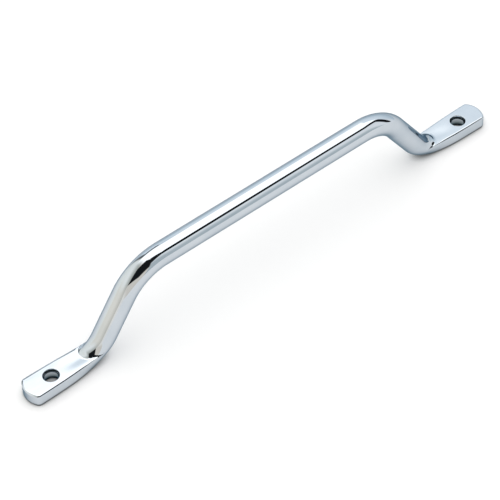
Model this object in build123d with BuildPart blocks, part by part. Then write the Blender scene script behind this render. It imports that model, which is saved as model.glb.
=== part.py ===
# Grab handle forged from one round bar: a straight grip, two sloping legs and two flattened feet.
# Millimetres and degrees. +X runs along the grip, +Z away from the mounting surface, the origin lies
# on that surface midway between the two bolt holes.
import os
from math import cos, radians, sin, tan

from build123d import *

# Bar and its bends, the radii on the bar's axis
bar_diameter = 12.0
overall_height = 48.6
leg_angle = 54.4
grip_bend_radius = 29.0
foot_bend_radius = 15.0

# Foot: places along X
hole_spacing = 266.4
hole_to_shoulder = 19.6
hole_to_end = 15.0

# Foot: section of the flattened pad
pad_width = 14.6
pad_thickness = 7.0
pad_end_radius = 11.0
pad_drop = 0.15
pad_top_edge = 0.8
pad_bottom_edge = 0.5
pad_end_edge = 0.4

# Forged run from round to flat: lengths before and behind the shoulder, and the section there
root_length = 5.6
flow_length = 13.5
root_inset = 0.45
flow_share = 0.7
shoulder_growth = 0.7
shoulder_bottom_edge = 2.5
shoulder_top_edge = 0.3

# Nose that the die leaves at the shoulder: a ball end on the bar, inside the foot bend
nose_bend_angle = 18.8
nose_foot_fillet = 0.8

# Punched bolt hole: rolled rim on top, sheared wall, wider break-out underneath
hole_diameter = 7.2
hole_rim_radius = 0.7
breakout_depth = 2.5
breakout_growth = 0.7

# Derived places
bar_radius = bar_diameter / 2
grip_axis_z = overall_height - bar_radius
foot_axis_z = bar_radius + pad_drop
hole_x = hole_spacing / 2
end_x = hole_x + hole_to_end
shoulder_x = hole_x - hole_to_shoulder
nose_x = shoulder_x - bar_radius
nose_z = foot_axis_z + foot_bend_radius * (1 - cos(radians(nose_bend_angle)))
bend_end_x = nose_x + foot_bend_radius * sin(radians(nose_bend_angle))
foot_corner_x = bend_end_x - foot_bend_radius * tan(radians(leg_angle / 2))
grip_corner_x = foot_corner_x - (grip_axis_z - foot_axis_z) / tan(radians(leg_angle))
tail_x = shoulder_x + 2 * nose_foot_fillet
flow_x = shoulder_x + flow_length
root_x = shoulder_x - root_length

# Planes that part the foot: square to the bar at its nose, and the flat top of the pad
nose_plane = Plane(
    origin=(nose_x, 0, nose_z),
    x_dir=(0, 1, 0),
    z_dir=(cos(radians(nose_bend_angle)), 0, -sin(radians(nose_bend_angle))),
)
pad_top = Plane.XY.offset(pad_thickness)

# Half of the bent bar, from the middle of the grip to a short tail inside the pad
with BuildPart() as bent_bar:
    with BuildLine(Plane.XZ) as bar_axis:
        FilletPolyline(
            (0, grip_axis_z),
            (grip_corner_x, grip_axis_z),
            (foot_corner_x, foot_axis_z),
            (tail_x, foot_axis_z),
            radius=[grip_bend_radius, foot_bend_radius],
        )
    with BuildSketch(Plane(origin=bar_axis.line @ 0, z_dir=bar_axis.line % 0)):
        Circle(bar_radius)
    sweep()

# Round bar up to the nose
with BuildPart() as bar:
    add(bent_bar.part)
    split(bisect_by=nose_plane, keep=Keep.BOTTOM)

# Heel: the rest of the bend, pressed down to the top of the pad
with BuildPart() as heel:
    add(bent_bar.part)
    split(bisect_by=nose_plane, keep=Keep.TOP)
    split(bisect_by=pad_top, keep=Keep.BOTTOM)

# Nose: the ball end that the die leaves standing on the pad, with a fillet round its foot
with BuildPart() as nose:
    with BuildSketch(Plane.XZ) as nose_profile:
        with Locations((nose_x, nose_z)):
            Circle(bar_radius)
        with Locations((nose_x, pad_thickness)):
            Rectangle(2 * bar_radius, pad_thickness, align=(Align.MIN, Align.MAX))
        with Locations((nose_x, nose_z)):
            Rectangle(2 * bar_radius, 2 * bar_diameter, align=(Align.MIN, Align.CENTER), mode=Mode.INTERSECT)
        nose_foot = nose_profile.vertices().sort_by_distance((nose_x + bar_radius, pad_thickness))[0]
        fillet(nose_foot, nose_foot_fillet)
    revolve(axis=Axis((nose_x, 0, 0), (0, 0, 1)))
    split(bisect_by=nose_plane, keep=Keep.TOP)
    split(bisect_by=pad_top, keep=Keep.TOP)
    with BuildSketch(pad_top):
        with Locations((nose_x, 0)):
            Rectangle(4 * bar_diameter, bar_diameter)
    extrude(amount=bar_diameter, mode=Mode.INTERSECT)


def foot_section(x, width, bottom_edge, top_edge, underside=0.0):
    """Section of the foot at x: flat on both sides, its lower and upper edges rounded."""
    height = pad_thickness - underside
    with BuildSketch(Plane.YZ.offset(x)) as section:
        with Locations((0, underside)):
            Rectangle(width, height, align=(Align.CENTER, Align.MIN))
        corners = section.vertices().group_by(Axis.Y)
        fillet(corners[0], bottom_edge)
        corners = section.vertices().group_by(Axis.Y)
        fillet(corners[-1], top_edge)
    return section.sketch


# Sections of the foot along X: the metal spreads as it flows from under the bar out to the end
root_width = bar_diameter - 2 * root_inset
root_height = pad_thickness - 2 * root_inset
root_edge = min(root_width / 2, root_height) - root_inset
shoulder_width = bar_diameter + shoulder_growth
flow_width = shoulder_width + (pad_width - shoulder_width) * flow_share
root_section = foot_section(root_x, root_width, root_edge, shoulder_top_edge, 2 * root_inset)
shoulder_section = foot_section(shoulder_x, shoulder_width, shoulder_bottom_edge, shoulder_top_edge)
flow_section = foot_section(flow_x, flow_width, pad_bottom_edge, pad_top_edge)
end_section = foot_section(end_x, pad_width, pad_bottom_edge, pad_top_edge)

# Root of the foot: comes out of the bar's round underside below the nose
with BuildPart() as root:
    loft([root_section, shoulder_section])

# Flow of the forged metal from the shoulder to the full flat
with BuildPart() as flow:
    loft([shoulder_section, flow_section])

# Flat pad with its rounded end
with BuildPart() as pad:
    loft([flow_section, end_section])
    with BuildSketch():
        with Locations((end_x - pad_end_radius, 0)):
            Circle(pad_end_radius)
        with Locations((end_x - pad_end_radius, 0)):
            Rectangle(pad_end_radius + hole_to_end, 2 * pad_end_radius, align=(Align.MAX, Align.CENTER))
    extrude(amount=pad_thickness, mode=Mode.INTERSECT)
    end_face = pad.faces().sort_by(Axis.X)[-1]
    fillet(end_face.edges(), pad_end_edge)

# One whole half, then its twin on the other side of the middle
with BuildPart() as grab_handle:
    add(bar.part)
    add(heel.part)
    add(nose.part)
    add(root.part)
    add(flow.part)
    add(pad.part)
    with Locations((hole_x, 0, 0)):
        Cylinder(hole_diameter / 2, 3 * pad_thickness, mode=Mode.SUBTRACT)
        Cone(
            hole_diameter / 2 + breakout_growth,
            hole_diameter / 2,
            breakout_depth,
            align=(Align.CENTER, Align.CENTER, Align.MIN),
            mode=Mode.SUBTRACT,
        )
    hole_rim = grab_handle.edges().filter_by(GeomType.CIRCLE).filter_by_position(
        Axis.Z, pad_thickness - 0.01, pad_thickness + 0.01
    )
    fillet(hole_rim.sort_by_distance((hole_x, 0, pad_thickness))[0], hole_rim_radius)
    mirror(about=Plane.YZ)

grab_handle.part.label = "grab_handle"
os.makedirs("parts", exist_ok=True)
export_step(grab_handle.part, "parts/grab_handle.step")
print("half grip", round(grip_corner_x - grip_bend_radius * tan(radians(leg_angle / 2)), 2))
print("foot bend ends at", round(bend_end_x, 2))
print("volume", round(grab_handle.part.volume, 1), "solids", len(grab_handle.part.solids()))
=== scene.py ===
# %% [markdown]
# A grab handle is one length of round steel bar, bent at four places, with both ends forged flat and
# punched for a bolt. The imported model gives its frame: the origin lies on the mounting plane midway
# between the bolt holes, X runs along the grip and Z away from the panel.

import math

import bmesh
import bpy
import numpy as np
from mathutils import Matrix, Vector


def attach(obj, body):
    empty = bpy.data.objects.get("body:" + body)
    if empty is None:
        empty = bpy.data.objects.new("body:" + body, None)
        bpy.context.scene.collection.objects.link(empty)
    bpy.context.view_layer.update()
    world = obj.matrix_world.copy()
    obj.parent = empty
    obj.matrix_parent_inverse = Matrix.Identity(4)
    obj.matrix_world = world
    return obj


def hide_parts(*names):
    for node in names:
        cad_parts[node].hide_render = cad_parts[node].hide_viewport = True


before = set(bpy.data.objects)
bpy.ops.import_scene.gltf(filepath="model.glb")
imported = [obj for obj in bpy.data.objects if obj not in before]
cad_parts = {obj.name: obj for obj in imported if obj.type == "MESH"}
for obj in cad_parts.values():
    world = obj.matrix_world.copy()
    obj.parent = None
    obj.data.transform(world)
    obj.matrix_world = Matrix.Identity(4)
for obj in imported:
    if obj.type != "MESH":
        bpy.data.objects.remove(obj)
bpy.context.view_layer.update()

# %% [markdown]
# The camera comes first, so that every later step can be held against the photograph. It stands about
# a metre off, above and to the left of the grip, with a long lens that keeps both feet nearly equal in
# size. It could be aimed with a Track To constraint, but that leaves no roll, so the three directions
# of the camera are written down and put in its matrix.

# %% Camera
lens_mm = 148.65
sensor_mm = 36.0
camera_place = (-0.44566, -0.56323, 0.75775)
camera_right = Vector((0.7688, -0.6386, -0.0330)).normalized()
camera_back = Vector((-0.4212, -0.5445, 0.7253)).normalized()
camera_up = camera_back.cross(camera_right).normalized()
camera_right = camera_up.cross(camera_back)
bpy.ops.object.select_all(action="DESELECT")
bpy.ops.object.camera_add()
camera = bpy.context.object
aim = Matrix((camera_right, camera_up, camera_back)).transposed().to_4x4()
camera.matrix_world = Matrix.Translation(camera_place) @ aim
camera.data.lens = lens_mm
camera.data.sensor_width = sensor_mm
bpy.context.scene.camera = camera
print("camera", round(camera.location.length, 3), "m from the origin")

# %% [markdown]
# The bar is 12 mm round stock. A ring is pushed along the grip, spun round the upper bend and pushed down
# the leg, which is how a bar bender makes it too. A bevelled curve would be quicker, but the ring keeps its
# vertices in step with the forged foot that grows out of its end, so each vertex remembers its place on the
# ring. Half of the handle is modelled, in millimetres, and mirrored later.

# %% Round bar: its sizes and the places of its bends
bar_radius = 6.0
grip_z = 42.6
leg_angle = math.radians(54.4)
grip_bend_radius = 29.0
foot_bend_radius = 15.0
foot_bend_x = 112.5
foot_axis_z = 6.15
leg_way = Vector((math.cos(leg_angle), 0, -math.sin(leg_angle)))
foot_bend_centre = Vector((foot_bend_x, 0, foot_axis_z + foot_bend_radius))
leg_foot = foot_bend_centre + foot_bend_radius * Vector((-math.sin(leg_angle), 0, -math.cos(leg_angle)))
bend_drop = grip_bend_radius * (1 - math.cos(leg_angle))
leg_length = (grip_z - bend_drop - leg_foot.z) / math.sin(leg_angle)
leg_head = leg_foot - leg_length * leg_way
grip_half = leg_head.x - grip_bend_radius * math.sin(leg_angle)
grip_bend_centre = Vector((grip_half, 0, grip_z - grip_bend_radius))
print("half grip", round(grip_half, 2), "mm, leg", round(leg_length, 2), "mm")

# %% Round bar: ring, grip, bend, leg
RING = 128
GRIP_STEPS, BEND_STEPS, LEG_STEPS = 8, 40, 3
bpy.ops.object.select_all(action="DESELECT")
bpy.ops.mesh.primitive_circle_add(
    vertices=RING, radius=bar_radius, location=(0, 0, grip_z), rotation=(0, math.pi / 2, 0)
)
handle = bpy.context.object
handle.name = "plated_grab_handle"
bpy.ops.object.transform_apply(location=True, rotation=True, scale=True)
bpy.ops.object.mode_set(mode="EDIT")
edit = bmesh.from_edit_mesh(handle.data)
place = edit.verts.layers.int.new("place_on_ring")
for v in edit.verts:
    turn = math.atan2(v.co.y, grip_z - v.co.z) / (2 * math.pi)
    v[place] = round(turn * RING) % RING
bmesh.update_edit_mesh(handle.data)
for step in range(GRIP_STEPS):
    bpy.ops.mesh.extrude_region_move(TRANSFORM_OT_translate={"value": (grip_half / GRIP_STEPS, 0, 0)})
bpy.ops.mesh.spin(steps=BEND_STEPS, angle=leg_angle, center=grip_bend_centre, axis=(0, -1, 0))
for step in range(LEG_STEPS):
    bpy.ops.mesh.extrude_region_move(TRANSFORM_OT_translate={"value": leg_way * (leg_length / LEG_STEPS)})
edit = bmesh.from_edit_mesh(handle.data)
ring_end = sum((v.co for v in edit.verts if v.select), Vector()) / RING
print("ring ends at", [round(c, 2) for c in ring_end], "leg's foot is at", [round(c, 2) for c in leg_foot])

# %% [markdown]
# The foot is forged: a die presses the bar's end flat, and leaves the bar above it with a ball nose, which
# sinks into the pad with a small fillet round it. The metal flows from round to flat and spreads on the way.
# Booleans and bevels leave pinched shading on such a blend, so the die is written as a distance: below
# zero is steel, above zero is air. Two helpers round the edges where shapes meet or cut each other.

# %% Die: rounded joins and cuts
def round_join(a, b, r):
    """Distance to both shapes together, with a fillet of radius r where they meet."""
    return np.maximum(r, np.minimum(a, b)) - np.hypot(np.maximum(r - a, 0), np.maximum(r - b, 0))


def round_cut(a, b, r):
    """Distance to what both shapes share, with its edge rounded to radius r."""
    return np.minimum(-r, np.maximum(a, b)) + np.hypot(np.maximum(r + a, 0), np.maximum(r + b, 0))


def ease(x, start, end):
    """Smooth climb from 0 at start to 1 at end."""
    t = np.clip((x - start) / (end - start), 0, 1)
    return t * t * (3 - 2 * t)


print("ease is half way up at the middle:", float(ease(0.5, 0.0, 1.0)))


# %% Die: distance to the bent bar
FAR = 1e3


def to_run(x, y, z, a, b):
    """Distance to the straight run of the bar's axis from a to b."""
    dx, dz = b[0] - a[0], b[1] - a[1]
    t = np.clip(((x - a[0]) * dx + (z - a[1]) * dz) / (dx * dx + dz * dz), 0, 1)
    return np.sqrt((x - a[0] - t * dx) ** 2 + y**2 + (z - a[1] - t * dz) ** 2)


def to_bend(x, y, z, centre, radius, side, first, last):
    """Distance to an arc of the axis; its angles start straight below (side 1) or above (side -1) the centre."""
    dx, dz = x - centre.x, z - centre.z
    turn = np.arctan2(-side * dx, -side * dz)
    away = np.hypot(np.hypot(dx, dz) - radius, y)
    return np.where((turn >= first) & (turn <= last), away, FAR)


def to_bar(x, y, z, bend, run_z, stop):
    """Distance to the bent bar's surface; its foot bend ends level at run_z, or in a ball at the angle stop."""
    foot_z = run_z + bend * (1 - math.cos(leg_angle))
    foot = leg_foot + leg_way * ((leg_foot.z - foot_z) / math.sin(leg_angle))
    centre = foot + bend * Vector((math.sin(leg_angle), 0, math.cos(leg_angle)))
    near = to_run(x, y, z, (0, grip_z), (grip_half, grip_z))
    near = np.minimum(near, to_bend(x, y, z, grip_bend_centre, grip_bend_radius, -1, 0, leg_angle))
    near = np.minimum(near, to_run(x, y, z, (leg_head.x, leg_head.z), (foot.x, foot.z)))
    near = np.minimum(near, to_bend(x, y, z, centre, bend, 1, stop, leg_angle))
    last = (centre.x - bend * math.sin(stop), centre.z - bend * math.cos(stop))
    tail = last if stop else (160.0, run_z)
    return np.minimum(near, to_run(x, y, z, last, (tail[0] + 0.001, tail[1]))) - bar_radius


grip_top = np.array([[0.0], [0.0], [grip_z + bar_radius]])
print("bar at the grip's top", round(float(to_bar(*grip_top, foot_bend_radius, foot_axis_z, 0.0)[0]), 4), "mm")

# %% [markdown]
# The forged foot has its own sizes. The pad's top is flat with a shallow hollow by the nose. Its edges are first
# rolled over by a few degrees and then worn to a steep facet, more on the front than on the back. All of
# this is small, but a mirror finish shows every degree of it.

# %% Forged foot: its sizes
pad_top = 7.0
pad_half = 7.26
end_x = 148.2
end_radius = 11.0
corner_radius = 1.0
bottom_edge = 1.2
edge_round = 0.15
worn_edge, worn_lean, worn_tilt = 0.36, 0.08, math.radians(36.0)
worn_start, worn_end = 106.5, 121.0
roll_edge, roll_tilt = 0.090, math.radians(5.6)
roll_start, roll_end = 112.0, 116.0
hollow = 0.10
hollow_start, hollow_end = 117.0, 129.0
hollow_floor, hollow_half = 0.3, 5.0
nose_bend_radius = 22.0
nose_axis_z = 1.25
nose_stop = math.radians(26.5)
nose_fillet = 1.0
heel_start, heel_end = 100.0, 107.0
flow_start, flow_end, flow_power = 106.5, 129.0, 2.3
spread_end, spread_rate = 147.0, 0.00086


def half_width(x):
    """Half the foot's width: it spreads from the bar's own width to the full pad."""
    spread = pad_half - spread_rate * np.maximum(spread_end - x, 0) ** 2
    return (spread + bar_radius + np.sqrt((spread - bar_radius) ** 2 + 0.02)) / 2 - 0.002


widths = [round(2 * float(half_width(x)), 2) for x in (flow_start, end_x)]
print("foot spreads from", widths[0], "to", widths[1], "mm")


# %% Die: distance to one half of the handle
def die(x, y, z):
    """Distance to one half of the handle, in millimetres."""
    x = np.abs(x)
    tube = to_bar(x, y, z, foot_bend_radius, foot_axis_z, 0.0)
    nose = np.maximum(tube, to_bar(x, y, z, nose_bend_radius, nose_axis_z, nose_stop))
    end = np.hypot(np.maximum(x - end_x + end_radius, 0), y) - end_radius
    plan = round_cut(np.abs(y) - half_width(x), end, corner_radius)
    column = round_cut(plan, -z, bottom_edge)
    ramp = (np.sqrt((x - flow_start) ** 2 + 4) + x - flow_start) / 2
    flat = 1 - (1 - np.clip(ramp / (flow_end - flow_start), 0, 1)) ** flow_power
    flat = flat * ease(x, heel_start, heel_end)
    side = (1 - flat) * tube + flat * column
    above = z - pad_top
    dip = hollow * (1 - ease(x, hollow_start, hollow_end)) * (1 - ease(np.abs(y), hollow_floor, hollow_half))
    roll = side * math.sin(roll_tilt) + above * math.cos(roll_tilt) + roll_edge * ease(x, roll_start, roll_end)
    level = np.where(x > roll_start, np.maximum(above + dip, roll), above + dip)
    top = round_join(nose, level, nose_fillet)
    grown = ease(x, worn_start, worn_end)
    forged = round_cut(side, top, edge_round * grown)
    edge = (worn_edge - worn_lean * np.clip(y / 3, -1, 1)) * grown
    worn = side * math.sin(worn_tilt) + above * math.cos(worn_tilt) + edge
    worn = np.where(x > worn_start, worn, -1.0)
    return np.minimum(nose, round_cut(forged, worn, edge_round * grown))


def die_normals(points):
    """Outward direction of the die's surface at each point."""
    h = 0.01
    steps = h * np.eye(3)
    slope = np.stack([die(*(points + s).T) - die(*(points - s).T) for s in steps], axis=1)
    return slope / np.linalg.norm(slope, axis=1, keepdims=True)


print("die at the grip's top", round(float(die(*grip_top)[0]), 4), "mm")

# %% [markdown]
# Each ring of the foot is pushed out of the last one with Extrude and then pressed: rays from the middle
# of its section find the die's surface. The rays crowd where the section turns sharply, so that the small
# edge radii get their share of vertices. The rings stand close where the nose meets the pad and at the end.

# %% Pressed section
RAYS = 2881
RAY_REACH = 16.0
HALVINGS = 44
CORNER_RAYS = 40
CORNER_SHARE = 1.1


def pressed_section(origin, up):
    """RING points on the die, in the plane of Y and up through origin, from straight below and round."""
    turns = np.linspace(-math.pi / 2, 1.5 * math.pi, RAYS)
    way = np.stack([up.x * np.sin(turns), np.cos(turns), up.z * np.sin(turns)], axis=1)
    near, far = np.zeros(RAYS), np.full(RAYS, RAY_REACH)
    for halving in range(HALVINGS):
        middle = (near + far) / 2
        inside = die(*(np.array(origin) + way * middle[:, None]).T) < 0
        near, far = np.where(inside, middle, near), np.where(inside, far, middle)
    points = np.array(origin) + way * near[:, None]
    flat = np.stack([points[:, 1], (points - np.array(origin)) @ np.array(up)], axis=1)
    run = np.diff(flat, axis=0)
    length = np.linalg.norm(run, axis=1)
    heading = np.unwrap(np.arctan2(run[:, 1], run[:, 0]))
    bend = np.abs(np.diff(heading, append=heading[-1]))
    bend = np.concatenate([bend[-CORNER_RAYS:], bend, bend[:CORNER_RAYS]])
    window = 2 * CORNER_RAYS + 1
    bend = np.convolve(bend, np.ones(window) / window, "valid")
    share = length / length.sum() + CORNER_SHARE * bend / max(bend.sum(), 1e-9)
    share = (share + share[::-1]) / 2
    grown = np.concatenate([[0], np.cumsum(share)])
    wanted = np.arange(RING) / RING * grown[-1]
    return np.stack([np.interp(wanted, grown, points[:, k]) for k in range(3)], axis=1)


# %% Stations of the foot's rings
stations = []
for angle in np.linspace(leg_angle, 0, 66)[1:]:
    lift = (foot_axis_z - pad_top / 2) * float(ease(leg_angle - angle, 0, leg_angle))
    arm = foot_bend_radius + lift
    origin = foot_bend_centre + arm * Vector((-math.sin(angle), 0, -math.cos(angle)))
    stations.append((origin, Vector((math.sin(angle), 0, math.cos(angle)))))
by_nose = np.arange(foot_bend_x + 0.1, 115.4, 0.1)
along_pad = np.linspace(115.5, 143.2, 34)
round_end = end_x - 4.9 * np.linspace(1, 0.035, 30) ** 2
for x in np.concatenate([by_nose, along_pad, round_end]):
    stations.append((Vector((x, 0, pad_top / 2)), Vector((0, 0, 1))))
print("stations", len(stations), "the last at", round(stations[-1][0].x, 3), "mm")

# %% Press the rings of the foot
for origin, up in stations:
    bpy.ops.mesh.extrude_region_move(TRANSFORM_OT_translate={"value": (0.01, 0, 0)})
    edit = bmesh.from_edit_mesh(handle.data)
    place = edit.verts.layers.int["place_on_ring"]
    section = pressed_section(origin, up)
    for v in edit.verts:
        if v.select:
            v.co = section[v[place]]
    bmesh.update_edit_mesh(handle.data)
bpy.ops.mesh.edge_face_add()
bpy.ops.mesh.select_all(action="DESELECT")
edit = bmesh.from_edit_mesh(handle.data)
for e in edit.edges:
    e.select_set(all(abs(v.co.x) < 1e-4 for v in e.verts))
bmesh.update_edit_mesh(handle.data)
bpy.ops.mesh.edge_face_add()
bpy.ops.mesh.select_all(action="SELECT")
bpy.ops.mesh.normals_make_consistent(inside=False)
bpy.ops.object.mode_set(mode="OBJECT")
print("foot pressed in", len(stations), "rings,", len(handle.data.polygons), "faces")

# %% [markdown]
# The bolt hole is punched. The punch leaves a steep, slightly tapered mouth, shears a straight wall and breaks
# out wider below. A boolean cuts a plain round hole at the mouth's outer size, with the half closed for the
# cut. Its wall is then taken out, and mouth and break-out are drawn from the two open rings and bridged, so
# that they keep clean rows of faces.

# %% Punched hole
hole_x = 133.2
hole_radius = 3.6
mouth_growth = 0.7
mouth_radius = hole_radius + mouth_growth
breakout_top = 2.5
bpy.ops.object.select_all(action="DESELECT")
bpy.ops.mesh.primitive_cylinder_add(
    vertices=64, radius=mouth_radius, depth=20, location=(hole_x, 0, pad_top / 2)
)
punch = bpy.context.object
cut = handle.modifiers.new("punched hole", "BOOLEAN")
cut.operation = "DIFFERENCE"
cut.solver = "EXACT"
cut.object = punch
bpy.context.view_layer.objects.active = handle
bpy.ops.object.modifier_apply(modifier=cut.name)
bpy.data.objects.remove(punch)
bpy.ops.object.select_all(action="DESELECT")
handle.select_set(True)
bpy.context.view_layer.objects.active = handle
print("hole cut,", len(handle.data.polygons), "faces")

# %% Take out the plain wall and the middle cap
bpy.ops.object.mode_set(mode="EDIT")
bpy.ops.mesh.select_mode(type="VERT")
bpy.ops.mesh.select_all(action="SELECT")
bpy.ops.mesh.remove_doubles(threshold=0.002)
bpy.ops.mesh.select_mode(type="FACE")
bpy.ops.mesh.select_all(action="DESELECT")
edit = bmesh.from_edit_mesh(handle.data)
for f in edit.faces:
    middle = f.calc_center_median()
    in_hole = math.hypot(middle.x - hole_x, middle.y) < mouth_radius and abs(f.normal.z) < 0.1
    f.select_set(in_hole or abs(middle.x) < 1e-4)
taken = sum(f.select for f in edit.faces)
bmesh.update_edit_mesh(handle.data)
bpy.ops.mesh.delete(type="FACE")
bpy.ops.object.mode_set(mode="OBJECT")
print(taken, "faces taken out")


# %% Mouth, wall and break-out of the hole
def select_hole_loop(z, radius):
    """Selects the ring of open edges round the hole at height z."""
    bpy.ops.mesh.select_all(action="DESELECT")
    edit = bmesh.from_edit_mesh(handle.data)
    for e in edit.edges:
        at = [(math.hypot(v.co.x - hole_x, v.co.y), v.co.z) for v in e.verts]
        if e.is_boundary and all(abs(r - radius) < 0.03 and abs(h - z) < 0.03 for r, h in at):
            e.select_set(True)
    bmesh.update_edit_mesh(handle.data)


def draw_hole(profile, radius, z):
    """Draws the selected ring through the radii and heights of a profile."""
    for next_radius, next_z in profile:
        bpy.ops.mesh.extrude_region_move(TRANSFORM_OT_translate={"value": (0, 0, next_z - z)})
        size = next_radius / radius
        bpy.ops.transform.resize(value=(size, size, 1), center_override=(hole_x, 0, next_z))
        radius, z = next_radius, next_z


mouth_tilts = np.radians([20, 45, 65, 72, 74, 74, 76, 82, 90])
mouth_steps = np.array([0.03, 0.06, 0.10, 0.30, 0.50, 0.50, 0.40, 0.20, 0.10])
mouth_in, mouth_down = np.cumsum(mouth_steps * np.cos(mouth_tilts)), np.cumsum(mouth_steps * np.sin(mouth_tilts))
mouth_in *= mouth_growth / mouth_in[-1]
mouth = [(mouth_radius - a, pad_top - b) for a, b in zip(mouth_in, mouth_down)]
breakout = [
    (hole_radius + 0.4, 1.1),
    (hole_radius + 0.06, breakout_top - 0.15),
    (hole_radius, breakout_top + 0.15),
]
bpy.ops.object.mode_set(mode="EDIT")
bpy.ops.mesh.select_mode(type="EDGE")
select_hole_loop(pad_top, mouth_radius)
draw_hole(mouth, mouth_radius, pad_top)
select_hole_loop(0.0, mouth_radius)
draw_hole(breakout, mouth_radius, 0.0)
select_hole_loop(mouth[-1][1], hole_radius)
upper = [e.index for e in bmesh.from_edit_mesh(handle.data).edges if e.select]
select_hole_loop(breakout[-1][1], hole_radius)
edit = bmesh.from_edit_mesh(handle.data)
edit.edges.ensure_lookup_table()
for i in upper:
    edit.edges[i].select_set(True)
bmesh.update_edit_mesh(handle.data)
bpy.ops.mesh.bridge_edge_loops()
bpy.ops.mesh.select_all(action="SELECT")
bpy.ops.mesh.normals_make_consistent(inside=False)
bpy.ops.object.mode_set(mode="OBJECT")
print("half handle:", len(handle.data.polygons), "faces,", len(upper), "edges round the hole")

# %% [markdown]
# Both ends are alike, so a Mirror modifier makes the other half. A mirror finish also shows each facet of a
# mesh, and normals averaged from the faces bend its reflections. So the corners get their normals from the die
# itself, and in the hole from its profile. The mesh is then brought from millimetres to metres.

# %% Mirror
mirror = handle.modifiers.new("other half", "MIRROR")
mirror.use_axis = (True, False, False)
mirror.use_mirror_merge = True
mirror.merge_threshold = 0.001
bpy.ops.object.modifier_apply(modifier=mirror.name)
bpy.ops.object.shade_smooth_by_angle(angle=math.radians(38))
print("whole handle:", len(handle.data.polygons), "faces")

# %% Normals from the die and the hole's profile, then metres
mesh = handle.data
spots = np.array([v.co for v in mesh.vertices])
middles = np.array([f.center for f in mesh.polygons])
corner_spot = np.zeros(len(mesh.loops), int)
mesh.loops.foreach_get("vertex_index", corner_spot)
corner_face = np.repeat(np.arange(len(mesh.polygons)), [f.loop_total for f in mesh.polygons])
hole_axis = np.stack([np.sign(spots[:, 0]) * hole_x, 0 * spots[:, 0], spots[:, 2]], axis=1)
from_axis = spots - hole_axis
from_axis /= np.maximum(np.linalg.norm(from_axis, axis=1, keepdims=True), 1e-9)
depths, tilts = np.concatenate([[0], mouth_down]), np.concatenate([[0.3], mouth_tilts])
rise = np.cos(np.interp(pad_top - spots[:, 2], depths, tilts))
rise = rise - 0.263 * ease(-spots[:, 2], -breakout_top - 0.2, -breakout_top + 0.2)
in_wall = np.array([0, 0, 1.0]) * rise[:, None] - from_axis * np.sqrt(1 - rise**2)[:, None]
is_wall = np.hypot(np.abs(middles[:, 0]) - hole_x, middles[:, 1]) < mouth_radius - 0.01
on_die = die_normals(spots)
corner_normal = np.where(is_wall[corner_face][:, None], in_wall[corner_spot], on_die[corner_spot])
handle.scale = (0.001, 0.001, 0.001)
bpy.ops.object.transform_apply(location=False, rotation=False, scale=True)
handle.data.normals_split_custom_set(corner_normal.tolist())
edit = bmesh.new()
edit.from_mesh(handle.data)
print("open edges", sum(not e.is_manifold for e in edit.edges), "volume", round(edit.calc_volume() * 1e9), "mm3")
edit.free()

# %% [markdown]
# The finish is bright plating on smooth steel: nearly a mirror, with a cool grey tint. A plain metal
# with one roughness looks computed, so fine cloudy changes of roughness and tint and a very shallow
# unevenness, as drawn and forged bar has, are laid over it from the piece's own coordinates. A few
# helpers write the nodes, here and in the floor and the studio.

# %% Node helpers
def feed(socket, value):
    """Puts a number, a tuple or another node's output into a socket."""
    if isinstance(value, bpy.types.NodeSocket):
        links.new(value, socket)
    else:
        socket.default_value = value


def calc(operation, *values):
    """One Math node."""
    node = nodes.new("ShaderNodeMath")
    node.operation = operation
    for socket, value in zip(node.inputs, values):
        feed(socket, value)
    return node.outputs[0]


def climb(value, start, end, low=0.0, high=1.0):
    """Smooth climb from low at start to high at end."""
    node = nodes.new("ShaderNodeMapRange")
    node.interpolation_type = "SMOOTHSTEP"
    for name, number in zip(("Value", "From Min", "From Max", "To Min", "To Max"), (value, start, end, low, high)):
        feed(node.inputs[name], number)
    return node.outputs["Result"]


def blend(share, first, second):
    """Colour that goes from first to second as share goes from 0 to 1."""
    node = nodes.new("ShaderNodeMix")
    node.data_type = "RGBA"
    feed(node.inputs[0], share)
    feed(node.inputs[6], (*first, 1) if isinstance(first, tuple) else first)
    feed(node.inputs[7], (*second, 1) if isinstance(second, tuple) else second)
    return node.outputs[2]


def apart(vector):
    """X, Y and Z outputs of a vector."""
    node = nodes.new("ShaderNodeSeparateXYZ")
    feed(node.inputs[0], vector)
    return node.outputs


# %% Bright plating: tint and gloss
plating = bpy.data.materials.new("bright_plating")
plating.use_nodes = True
nodes, links = plating.node_tree.nodes, plating.node_tree.links
shader = nodes["Principled BSDF"]
shader.inputs["Metallic"].default_value = 1.0
shader.inputs["Specular Tint"].default_value = (0.22, 0.30, 0.36, 1)
where = nodes.new("ShaderNodeTexCoord").outputs["Object"]
clouds = nodes.new("ShaderNodeTexNoise")
clouds.inputs["Scale"].default_value = 90.0
clouds.inputs["Detail"].default_value = 5.0
links.new(where, clouds.inputs["Vector"])
tint = nodes.new("ShaderNodeValToRGB")
tint.color_ramp.elements[0].position = 0.35
tint.color_ramp.elements[0].color = (0.560, 0.608, 0.655, 1)
tint.color_ramp.elements[1].position = 0.65
tint.color_ramp.elements[1].color = (0.592, 0.635, 0.678, 1)
links.new(clouds.outputs["Fac"], tint.inputs["Fac"])
gloss = nodes.new("ShaderNodeMapRange")
gloss.inputs["From Min"].default_value = 0.3
gloss.inputs["From Max"].default_value = 0.7
gloss.inputs["To Min"].default_value = 0.018
gloss.inputs["To Max"].default_value = 0.045
links.new(clouds.outputs["Fac"], gloss.inputs["Value"])
links.new(gloss.outputs["Result"], shader.inputs["Roughness"])
print("plating started with", len(nodes), "nodes")

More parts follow.
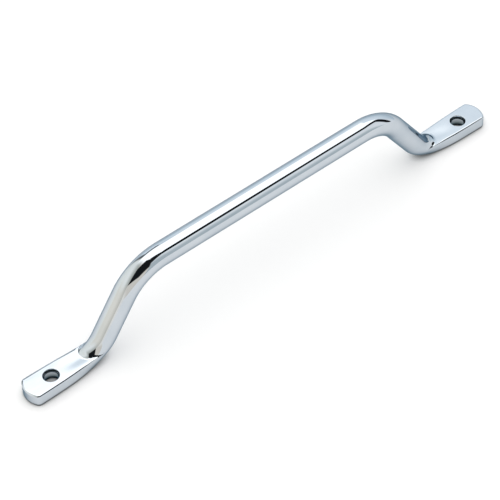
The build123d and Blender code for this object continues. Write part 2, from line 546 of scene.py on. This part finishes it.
# %% Forged unevenness under the plating
stretch = nodes.new("ShaderNodeMapping")
stretch.inputs["Scale"].default_value = (0.45, 1.0, 1.0)
links.new(where, stretch.inputs["Vector"])
waves = nodes.new("ShaderNodeTexNoise")
waves.inputs["Scale"].default_value = 130.0
waves.inputs["Detail"].default_value = 1.5
links.new(stretch.outputs["Vector"], waves.inputs["Vector"])
spot = apart(where)
uneven = nodes.new("ShaderNodeBump")
uneven.inputs["Distance"].default_value = 0.0001
feed(uneven.inputs["Strength"], climb(calc("ABSOLUTE", spot["X"]), 0.095, 0.122, 0.06, 0.35))
links.new(waves.outputs["Fac"], uneven.inputs["Height"])
links.new(uneven.outputs["Normal"], shader.inputs["Normal"])
print("feet are more uneven than the grip")


# %% [markdown]
# Painted shade darkens the plating's colour in the depth of each hole and along the lowest rounded edge,
# where the part meets the floor. The hole's depth is found from the distance to its axis and the height. The
# edge is found from the height and from the way that the surface faces, so the flat underside stays bright.

# %% Painted shade in the holes and along the lowest edge
def from_hole(spot):
    """Distance in metres from a spot to the axis of the nearer hole."""
    along = calc("SUBTRACT", calc("ABSOLUTE", spot["X"]), 0.001 * hole_x)
    return calc("SQRT", calc("ADD", calc("POWER", along, 2.0), calc("POWER", spot["Y"], 2.0)))


# Painted shade: the hole's wall is darkened towards its bottom.
in_hole = calc("LESS_THAN", from_hole(spot), 0.001 * (mouth_radius - 0.05))
painted_hole_shade = calc("MULTIPLY", in_hole, climb(spot["Z"], 0.0012, 0.0066, 1.0, 0.0))
facing = apart(nodes.new("ShaderNodeNewGeometry").outputs["Normal"])
# Painted shade: the rounded edge next to the floor is darkened where it meets the floor.
painted_contact_shade = climb(spot["Z"], 0.0006, 0.0015, 1.0, 0.0)
painted_contact_shade = calc("MULTIPLY", painted_contact_shade, climb(facing["Z"], -0.98, -0.86))
# The dark colour that the painted shade takes the plating to, in the holes and along the lowest edge.
painted_shade_colour = (0.130, 0.165, 0.175)
feed(shader.inputs["Base Color"], blend(calc("MAXIMUM", painted_hole_shade, painted_contact_shade), tint.outputs["Color"], painted_shade_colour))
handle.data.materials.clear()
handle.data.materials.append(plating)
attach(handle, "root")
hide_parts("grab_handle")
print("plating of", len(nodes), "nodes on", handle.name)

# %% [markdown]
# The handle stands on white paper. The paper is a plain diffuse surface, so it keeps the soft shadow, and its
# colour carries painted shade from an ambient occlusion node, darkest in the crevice under the round heel, and
# painted light under each bolt hole, where light falls through. In what the metal mirrors it is half a clean
# white, as in a studio picture, with painted shade in the thin joint under the metal, which the length of the ray
# tells.

# %% White floor: colour with painted shade
bpy.ops.object.select_all(action="DESELECT")
bpy.ops.mesh.primitive_plane_add(size=8.0, location=(0, 0, -0.00002))
floor = bpy.context.object
floor.name = "studio_floor"
paper = bpy.data.materials.new("white_paper")
paper.use_nodes = True
nodes, links = paper.node_tree.nodes, paper.node_tree.links
nodes.remove(nodes["Principled BSDF"])
path = nodes.new("ShaderNodeLightPath").outputs
mirrored = calc("MAXIMUM", path["Is Glossy Ray"], path["Is Transmission Ray"])
shown = calc("MAXIMUM", path["Is Camera Ray"], mirrored)
white = blend(shown, (0.80, 0.80, 0.80), (1.0, 1.0, 1.0))
# Painted shade: ambient occlusion darkens the paper's colour near the metal, most in the crevice under the heel.
crevice = nodes.new("ShaderNodeAmbientOcclusion")
crevice.inputs["Distance"].default_value = 0.006
painted_crevice_shade = climb(crevice.outputs["AO"], 0.05, 0.72, 0.25, 1.0)
floor_spot = apart(nodes.new("ShaderNodeTexCoord").outputs["Object"])
# Painted light: under each bolt hole the painted shade is lifted, as light falls through the hole.
painted_light_under_hole = climb(from_hole(floor_spot), 0.0034, 0.0046, 1.0, 0.0)
painted_floor_shading = calc("MAXIMUM", painted_crevice_shade, calc("MULTIPLY", painted_light_under_hole, 0.85))
matt = nodes.new("ShaderNodeBsdfDiffuse")
feed(matt.inputs["Color"], blend(painted_floor_shading, (0.0, 0.0, 0.0), white))
print("paper started with", len(nodes), "nodes")

# %% White floor: what the metal mirrors
glow = nodes.new("ShaderNodeEmission")
# Painted shade: the paper's glow, as the metal mirrors it, fades to dark in the thin joint where the ray is short.
feed(glow.inputs["Strength"], climb(path["Ray Length"], 0.0006, 0.0030))
half = nodes.new("ShaderNodeMixShader")
half.inputs[0].default_value = 0.5
links.new(matt.outputs[0], half.inputs[1])
links.new(glow.outputs[0], half.inputs[2])
kind = nodes.new("ShaderNodeMixShader")
links.new(mirrored, kind.inputs[0])
links.new(matt.outputs[0], kind.inputs[1])
links.new(half.outputs[0], kind.inputs[2])
links.new(kind.outputs[0], nodes["Material Output"].inputs["Surface"])
floor.data.materials.append(paper)
print("floor", floor.name, "with", len(nodes), "nodes")

# %% [markdown]
# A mirror finish shows the studio more than itself, so the studio is what makes it look right: a large
# soft light overhead, pale walls with a warm card on one side and a cool back on the other, and the dark gap
# and stand in front, which draw the black line along the grip. The world holds it all, worked out from the
# direction of a ray. The direction is laid flat, with the zenith in the middle and the horizon at distance 1.

# %% Studio: direction laid flat
world = bpy.data.worlds.new("studio")
bpy.context.scene.world = world
world.use_nodes = True
nodes, links = world.node_tree.nodes, world.node_tree.links
ray = apart(nodes.new("ShaderNodeTexCoord").outputs["Generated"])
height = calc("ADD", calc("MAXIMUM", ray["Z"], -0.3), 1.0)
east = calc("DIVIDE", ray["X"], height)
north = calc("DIVIDE", ray["Y"], height)
print("studio started with", len(nodes), "nodes")


# %% Studio: straight edges, bars and shapes on the flat map
def minus(value):
    """The same value with its sign turned."""
    return calc("MULTIPLY", value, -1.0)


def from_line(a, b, radius):
    """Distance on the flat map to a bar of that radius from a to b."""
    dx, dy = b[0] - a[0], b[1] - a[1]
    x, y = calc("SUBTRACT", east, a[0]), calc("SUBTRACT", north, a[1])
    t = calc("ADD", calc("MULTIPLY", x, dx), calc("MULTIPLY", y, dy))
    t = calc("MINIMUM", calc("MAXIMUM", calc("DIVIDE", t, dx * dx + dy * dy), 0.0), 1.0)
    x, y = calc("SUBTRACT", x, calc("MULTIPLY", t, dx)), calc("SUBTRACT", y, calc("MULTIPLY", t, dy))
    away = calc("SQRT", calc("ADD", calc("MULTIPLY", x, x), calc("MULTIPLY", y, y)))
    return calc("SUBTRACT", away, radius)


def beyond(a, b):
    """Distance on the flat map to the right of the line from a to b."""
    dx, dy = b[0] - a[0], b[1] - a[1]
    size = math.hypot(dx, dy)
    x, y = calc("SUBTRACT", east, a[0]), calc("SUBTRACT", north, a[1])
    return calc("ADD", calc("MULTIPLY", x, dy / size), calc("MULTIPLY", y, -dx / size))


def inside(*lines):
    """How far a direction lies inside the shape to the left of all lines, each from a to b."""
    edge = minus(beyond(*lines[0]))
    for line in lines[1:]:
        edge = calc("MINIMUM", edge, minus(beyond(*line)))
    return edge


# %% Studio: walls
card_edge = ((-0.249, -0.064), (-0.500, -0.310))
out = calc("SQRT", calc("ADD", calc("MULTIPLY", east, east), calc("MULTIPLY", north, north)))
cool_back = blend(climb(out, 0.42, 0.95), (1.07, 1.14, 1.20), (0.76, 0.86, 0.93))
lean = calc("SUBTRACT", minus(north), calc("MULTIPLY", east, 0.25))
cool_front = blend(climb(lean, 0.34, 0.62), (1.07, 1.08, 1.09), (0.60, 0.66, 0.68))
cool = blend(climb(north, -0.25, 0.05), cool_front, cool_back)
past_edge = beyond(*card_edge)
card_high = blend(climb(past_edge, 0.0, 0.30), (0.57, 0.58, 0.53), (1.15, 1.15, 1.10))
card_low = blend(climb(past_edge, 0.0, 0.45), (0.82, 0.77, 0.68), (1.08, 1.02, 0.91))
card_low = blend(climb(north, 0.36, 0.52), card_low, (1.10, 1.11, 1.05))
card = blend(climb(out, 0.45, 0.78), card_high, card_low)
below_card = blend(climb(east, -0.72, -0.50), (1.12, 1.07, 1.00), (0.91, 0.84, 0.75))
warm = blend(climb(past_edge, -0.012, 0.012), below_card, card)
walls = blend(climb(east, -0.02, 0.02), warm, cool)
print("walls up,", len(nodes), "nodes")

# %% Studio: soft light overhead
overhead = inside(
    ((-0.30, -0.25), (0.30, -0.25)),
    ((0.295, -0.10), (0.29, 0.33)),
    ((0.26, 0.325), (-0.30, 0.37)),
)
wing = inside(
    ((0.10, -0.25), (0.56, -0.06)),
    ((0.545, -0.10), (0.54, 0.10)),
    ((0.55, 0.01), (0.20, 0.19)),
    ((0.15, 0.20), (0.10, -0.25)),
)
soft = calc("MULTIPLY", climb(calc("MAXIMUM", overhead, wing), -0.03, 0.03), climb(east, -0.20, -0.05))
lit = blend(soft, walls, (1.95, 1.93, 1.90))
print("soft light up,", len(nodes), "nodes")

# %% Studio: dark gap, stand and back corner
stand = inside(
    card_edge,
    ((-0.500, -0.310), (-0.325, -0.520)),
    ((0.0, -0.66), (0.3, -0.66)),
    ((0.0, -0.7), (0.0, -0.3)),
    ((0.006, -0.219), (-0.073, -0.044)),
    ((0.0, -0.05), (-0.3, -0.05)),
)
wedge = inside(
    ((0.0, -0.48), (0.24, -0.34)),
    ((0.24, -0.34), (0.24, -0.26)),
    ((0.24, -0.26), (-0.02, -0.14)),
    ((-0.02, -0.14), (-0.02, -0.44)),
)
gap_bars = [
    ((0.0, -0.29), (0.20, -0.31), 0.075),
    ((0.20, -0.29), (0.50, -0.08), 0.066),
    ((0.52, -0.08), (0.80, -0.34), 0.085),
    ((0.01, 0.44), (0.19, 0.43), 0.05),
]
gap = minus(calc("MAXIMUM", stand, wedge))
for a, b, radius in gap_bars:
    gap = calc("MINIMUM", gap, from_line(a, b, radius))
lit = blend(climb(minus(gap), -0.015, 0.015), lit, (0.012, 0.014, 0.016))
corner = climb(minus(from_line((-0.02, 0.46), (-0.03, 1.0), 0.045)), -0.03, 0.02)
corner = calc("MULTIPLY", corner, climb(minus(north), -1.25, -0.45))
lit = blend(corner, lit, (0.10, 0.11, 0.12))
print("dark shapes up,", len(nodes), "nodes")

# %% Studio: even top light for the paper, white backdrop for the camera
rays = nodes.new("ShaderNodeLightPath").outputs
top_light = calc("MULTIPLY", calc("MAXIMUM", ray["Z"], 0.0), 1.5)
lit = blend(rays["Is Diffuse Ray"], lit, top_light)
feed(nodes["Background"].inputs["Color"], blend(rays["Is Camera Ray"], lit, (1.0, 1.0, 1.0)))
nodes["Background"].inputs["Strength"].default_value = 1.0
bpy.context.scene.view_settings.view_transform = "Standard"
print("studio of", len(nodes), "nodes")
